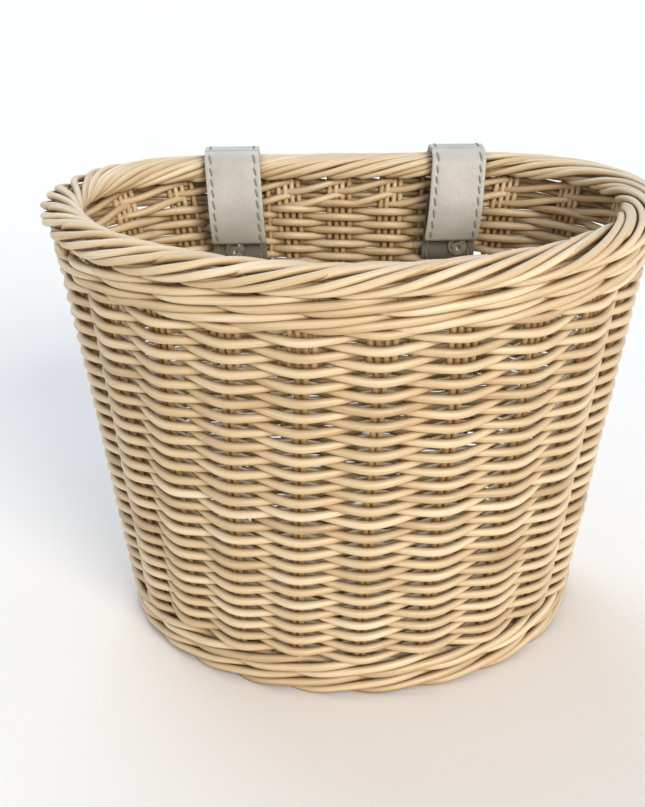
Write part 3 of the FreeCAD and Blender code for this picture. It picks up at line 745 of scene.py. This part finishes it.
def build_floor_weave():
    """Canes from side to side, over one stick and under the next."""
    strands = Strands()
    y = FLOOR_FRONT
    row = 0
    while y < FLOOR_BACK:
        reach = base_reach(y)
        x = np.linspace(-reach, reach, max(8, int(reach * 2 / FLOOR_STEP)))
        lift = (-1) ** row * FLOOR_LIFT * np.cos(math.pi * x / STICK_PITCH)
        drift = wander(x / STICK_PITCH, FLOOR_DRIFT)
        strands.add(np.stack([x, y + drift, FLOOR_LEVEL + lift], axis=1), FLOOR_CANE, tone())
        y += FLOOR_PITCH
        row += 1
    strands.build("base_weave_cane", CANE, stands_for=("base_weave",))


def wall_edge(x, side):
    """Front (side -1) or back (side 1) place of the wall's middle near the floor at x."""
    ring = wall_place(np.linspace(-GROUPS / 2, GROUPS / 2, EDGE_POINTS), EDGE_LEVEL, 0.0)
    picked = ring[ring[:, 1] * side > 0]
    return float(picked[np.argmin(np.abs(picked[:, 0] - x)), 1])


def base_reach(y):
    """How far the floor's weave reaches to either side at y."""
    ring = wall_place(np.linspace(0.0, GROUPS / 2, EDGE_POINTS), EDGE_LEVEL, -2.0)
    return float(ring[np.argmin(np.abs(ring[:, 1] - y)), 0])


build_side()
build_wales()
build_stakes()
build_border()
build_sticks()
build_floor_weave()


# The straps

def tilted(side, centre, level):
    """Middle of a strap at a height: the straps hang a little aslant."""
    return centre + STRAP_TILT[side] * np.clip((TILT_TOP - level) / TILT_DROP, 0, 1)


def taut_path(circles, first, last, tail_top=None):
    """Points and outward angles of a band's inner side, taut and clockwise round circles."""
    arrive = first
    points = []
    for circle, following in zip(circles, circles[1:] + (None,)):
        y, z, radius = circle
        if following is None:
            leave = last
        else:
            next_y, next_z, next_radius = following
            span = math.hypot(next_y - y, next_z - z)
            bearing = math.degrees(math.atan2(next_z - z, next_y - y))
            leave = bearing + math.degrees(math.acos((radius - next_radius) / span))
            while leave > arrive + 1:
                leave -= 360
        count = max(2, int(abs(arrive - leave) / BEND_STEP) + 2)
        for angle in np.radians(np.linspace(arrive, leave, count)):
            points.append((y + radius * math.cos(angle), z + radius * math.sin(angle), angle))
        arrive = leave
    if tail_top is not None:
        points.append((points[-1][0], tail_top, points[-1][2]))
    return resample(np.array(points))


def travelled(path):
    """How far along a strap's path each of its points is."""
    return np.concatenate([[0], np.cumsum(np.hypot(np.diff(path[:, 0]), np.diff(path[:, 1])))])


def resample(points, step=1.0):
    """The same line with points evenly apart."""
    travel = travelled(points)
    places = np.linspace(0, travel[-1], int(travel[-1] / step) + 1)
    return np.stack([np.interp(places, travel, points[:, column]) for column in range(3)], axis=1)


def band_section(width, thickness, edge, seam_dip):
    """Half of a layer's cross-section from its middle to its edge, then back under, as (across, up)."""
    half = width / 2
    top = [(across, thickness + drop) for across, drop in (*BEFORE_SEAM, (SEAM, -seam_dip), *AFTER_SEAM)
           if across < half - edge]
    arc = [(half - edge + edge * math.sin(a), thickness - EDGE_DROP - edge + edge * math.cos(a))
           for a in np.radians((0, 30, 60, 90))]
    low = [(half, edge * 0.5), (half - edge * 0.5, 0.0), (half * 0.5, 0.0)]
    return top + arc + low


def build_band(name, side, centre, path, layer, material, body, stands_for):
    """A strap layer: its cross-section swept along the path, with its ends closed."""
    offset, thickness, width, edge, seam_dip = layer
    half = band_section(width, thickness, edge, seam_dip)
    section = np.array(half + [(0.0, 0.0)] + [(-across, up) for across, up in reversed(half[1:])])
    travel = travelled(path)
    rings = []
    for (y, z, angle), at in zip(path, travel):
        to_end = min(at, travel[-1] - at)
        narrow = 1 - END_NARROW * (1 - smooth(to_end / NARROW_LENGTH))
        thin = 1 - END_THIN * (1 - smooth(to_end / THIN_LENGTH))
        up = offset + thickness / 2 + (section[:, 1] - thickness / 2) * thin
        level = z + up * math.sin(angle)
        across = tilted(side, centre, level) + section[:, 0] * narrow
        rings.append(np.stack([across, y + up * math.cos(angle), level], 1))
    around = len(section)
    last = (len(rings) - 1) * around
    faces = []
    for low in range(0, last, around):
        for corner in range(around):
            after = (corner + 1) % around
            faces.append((low + corner, low + around + corner, low + around + after, low + after))
    faces.append(tuple(range(around)))
    faces.append(tuple(reversed(range(last, last + around))))
    mesh = bpy.data.meshes.new(name)
    mesh.from_pydata((np.vstack(rings) * MM).tolist(), [], faces)
    return place_piece(name, mesh, material, body, (stands_for,))


def leather_material(name, base, light, dark, tail=None):
    """Grained leather; with a tail colour, the strap's end inside the basket, below the flap, is darkened
    with painted shade.
    """
    nodes = Nodes(name)
    place = nodes.position()
    pebble = nodes.cells(place, 1900.0)
    crease = nodes.noise(place, 420.0, detail=4.0)
    cloud = nodes.noise(place, 60.0, detail=3.0)
    colour = nodes.ramp(cloud, ((0.3, dark), (0.5, base), (0.72, light)))
    colour = nodes.mix(nodes.spread(pebble, 0.0, 0.5, 0.0, 0.16), colour, dark)
    if tail:
        # Painted shade: the loop's tail inside the basket, below about 150 mm, takes the dark tail colour
        # where the flap shades it.
        spot = nodes.new("ShaderNodeSeparateXYZ")
        nodes.link(place, spot.inputs[0])
        inside = nodes.spread(spot.outputs["Y"], 0.0565, 0.0585, 1.0, 0.0)
        low = nodes.spread(spot.outputs["Z"], 0.147, 0.150, 1.0, 0.0)
        colour = nodes.mix(nodes.math("MULTIPLY", inside, low), colour, tail)
    # Painted shade: the leather is darkened where the wall or another layer stands close.
    colour = nodes.painted_crevice_shade(colour, (0.30, 0.29, 0.24), 0.016, 0.35, 0.95)
    nodes.link(colour, nodes.shader.inputs["Base Color"])
    nodes.link(nodes.spread(crease, 0.3, 0.7, 0.34, 0.5), nodes.shader.inputs["Roughness"])
    height = nodes.math("ADD", nodes.math("MULTIPLY", pebble, -0.6), nodes.math("MULTIPLY", crease, 0.8))
    nodes.bump(height, 0.00012)
    return nodes.material


# Middle, light and dark colours of the face.
FACE_COLOURS = ((0.53, 0.52, 0.475), (0.58, 0.57, 0.525), (0.46, 0.45, 0.405))
LEATHER = leather_material("leatherette", *FACE_COLOURS)
# The loop's leather carries painted shade on its tail under the flap.
LOOP_LEATHER = leather_material("loop_leatherette", *FACE_COLOURS, tail=(0.17, 0.165, 0.13))
SUEDE = leather_material("strap_lining", (0.62, 0.58, 0.50), (0.68, 0.64, 0.57), (0.52, 0.48, 0.40))


def thread_material(name):
    nodes = Nodes(name)
    place = nodes.position()
    twist = nodes.new("ShaderNodeTexWave", wave_type="BANDS", bands_direction="DIAGONAL")
    nodes.link(place, twist.inputs["Vector"])
    twist.inputs["Scale"].default_value = 900.0
    twist.inputs["Distortion"].default_value = 2.0
    colour = nodes.ramp(twist.outputs["Fac"], ((0.2, (0.20, 0.18, 0.15)), (0.8, (0.38, 0.35, 0.30))))
    nodes.link(colour, nodes.shader.inputs["Base Color"])
    nodes.shader.inputs["Roughness"].default_value = 0.7
    nodes.bump(twist.outputs["Fac"], 0.00008)
    return nodes.material


def metal_material(name):
    nodes = Nodes(name)
    place = nodes.position()
    scratch = nodes.noise(nodes.stretched(place, (900.0, 3000.0, 900.0)), detail=4.0, rough=0.6)
    tarnish = nodes.noise(place, 400.0, detail=3.0)
    # Painted shade: the nickel is darker than clean metal, for the studs that sit in shade under the flaps;
    # the tarnish noise varies it.
    colour = nodes.ramp(tarnish, ((0.3, (0.42, 0.40, 0.36)), (0.6, (0.60, 0.58, 0.54))))
    nodes.link(colour, nodes.shader.inputs["Base Color"])
    nodes.shader.inputs["Metallic"].default_value = 1.0
    nodes.link(nodes.spread(scratch, 0.3, 0.7, 0.26, 0.4), nodes.shader.inputs["Roughness"])
    nodes.bump(scratch, 0.000008)
    return nodes.material


THREAD = thread_material("stitch_thread")
METAL = metal_material("nickel")


def build_stitches(name, side, centre, path, body, stands_for):
    """Running stitches along both edges of a strap's face, each a short length of thread with sunken ends."""
    strands = Strands()
    travel = travelled(path)
    count = int((travel[-1] - STITCH_END) / STITCH_PITCH)
    along = np.linspace(-1, 1, STITCH_POINTS)
    up = LINING + FACE - THREAD_DEPTH - STITCH_SINK * np.abs(along) ** 4
    for edge in (-1, 1):
        for index in range(count):
            places = STITCH_START + index * STITCH_PITCH + np.linspace(0, STITCH, STITCH_POINTS)
            y, z, angle = (np.interp(places, travel, path[:, column]) for column in range(3))
            level = z + up * np.sin(angle)
            x = tilted(side, centre, level) + edge * (STRAP_WIDTH / 2 - STITCH_INSET) - STITCH_SLANT * along
            strands.add(np.stack([x, y + up * np.cos(angle), level], 1), THREAD_WIDTH, 0.5, sides=6)
    return strands.build(name, THREAD, body, (stands_for,))


def build_part(name, side, centre, path, leather, body):
    """The face, the lining and the stitches of a strap's loop or flap."""
    face = build_band(name, side, centre, path, FACE_LAYER, leather, body, f"{name}_face")
    back = build_band(f"{name}_back", side, centre, path, LINING_LAYER, SUEDE, body,
                      f"{name}_lining")
    stitches = build_stitches(f"{name}_stitches", side, centre, path, body, f"{name}_seams")
    return face, back, stitches


def build_strap(side, centre):
    """One strap: the loop rides on the basket, the flap is built on no body with its transform applied, and
    the studs and socket get the metal.
    """
    def node(part):
        return f"{side}_{part}"

    flap = taut_path((BULGE, CREST_INNER), FLAP_TIP, CREST)
    loop = taut_path((CREST_INNER, CREST_OUTER, HANDLEBAR, TAIL_BEND), CREST, TAIL_SIDE, TAIL_TOP)
    build_part(node("loop"), side, centre, loop, LOOP_LEATHER, "basket")
    for piece in build_part(node("flap"), side, centre, flap, LEATHER, None):
        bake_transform(piece)
    for part in ("tail_studs", "stud_posts", "flap_socket", "socket_rivet"):
        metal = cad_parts[node(part)]
        metal.data.materials.clear()
        metal.data.materials.append(METAL)


for strap_side, strap_centre in STRAPS.items():
    build_strap(strap_side, strap_centre)


# Floor, light and camera

def floor_material():
    nodes = Nodes("floor_paper")
    fibre = nodes.noise(nodes.position(), 900.0, detail=3.0)
    colour = nodes.ramp(fibre, ((0.3, (0.93, 0.915, 0.90)), (0.7, (0.97, 0.955, 0.94))))
    nodes.link(colour, nodes.shader.inputs["Base Color"])
    nodes.shader.inputs["Roughness"].default_value = 0.9
    return nodes.material


def build_floor():
    mesh = bpy.data.meshes.new("floor")
    reach = 8.0
    mesh.from_pydata([(-reach, -reach, 0), (reach, -reach, 0), (reach, reach, 0), (-reach, reach, 0)], [],
                     [(0, 1, 2, 3)])
    floor = bpy.data.objects.new("floor", mesh)
    floor.data.materials.append(floor_material())
    bpy.context.scene.collection.objects.link(floor)


def aim(thing, target):
    thing.rotation_euler = (Vector(target) - thing.location).to_track_quat("-Z", "Y").to_euler()


def soft_sun(name, place, strength, spread, colour):
    """A wide soft light that falls evenly on the object and on the floor, from the direction of a place."""
    light = bpy.data.lights.new(name, "SUN")
    light.angle = math.radians(spread)
    light.energy = strength
    light.color = colour
    holder = bpy.data.objects.new(name, light)
    holder.location = place
    bpy.context.scene.collection.objects.link(holder)
    aim(holder, (0, 0, 0))


# Colours of the sky from just above the horizon to overhead
SKY = ((0.06, (0.98, 0.97, 0.96)), (0.8, (0.45, 0.475, 0.51)))


def build_lights():
    soft_sun("key", (0.55, -1.2, 0.62), 2.1, 26, (1.0, 0.925, 0.835))
    soft_sun("top", (-0.4, 1.0, 1.1), 1.02, 44, (0.76, 0.89, 1.04))
    world = bpy.data.worlds.new("studio")
    world.use_nodes = True
    tree = world.node_tree
    direction = tree.nodes.new("ShaderNodeTexCoord").outputs["Generated"]
    split = tree.nodes.new("ShaderNodeSeparateXYZ")
    sky = tree.nodes.new("ShaderNodeValToRGB")
    for element, (height, colour) in zip(sky.color_ramp.elements, SKY):
        element.position = height
        element.color = (*colour, 1.0)
    tree.links.new(direction, split.inputs[0])
    tree.links.new(split.outputs["Z"], sky.inputs["Fac"])
    tree.links.new(sky.outputs["Color"], tree.nodes["Background"].inputs["Color"])
    bpy.context.scene.world = world
    bpy.context.scene.view_settings.view_transform = "Standard"


def build_camera():
    camera = bpy.data.cameras.new("camera")
    camera.sensor_width = 36.0
    camera.lens = 59.1078067
    downward = 0.3889
    turned = 0.0623
    camera.shift_x = -0.0428
    camera.shift_y = -0.0016
    camera.clip_start = 0.01
    holder = bpy.data.objects.new("camera", camera)
    holder.location = (-0.0263, -0.4341, 0.2619)
    holder.rotation_euler = (math.pi / 2 - downward, 0.0, -turned)
    bpy.context.scene.collection.objects.link(holder)
    bpy.context.scene.camera = holder


build_floor()
build_lights()
build_camera()
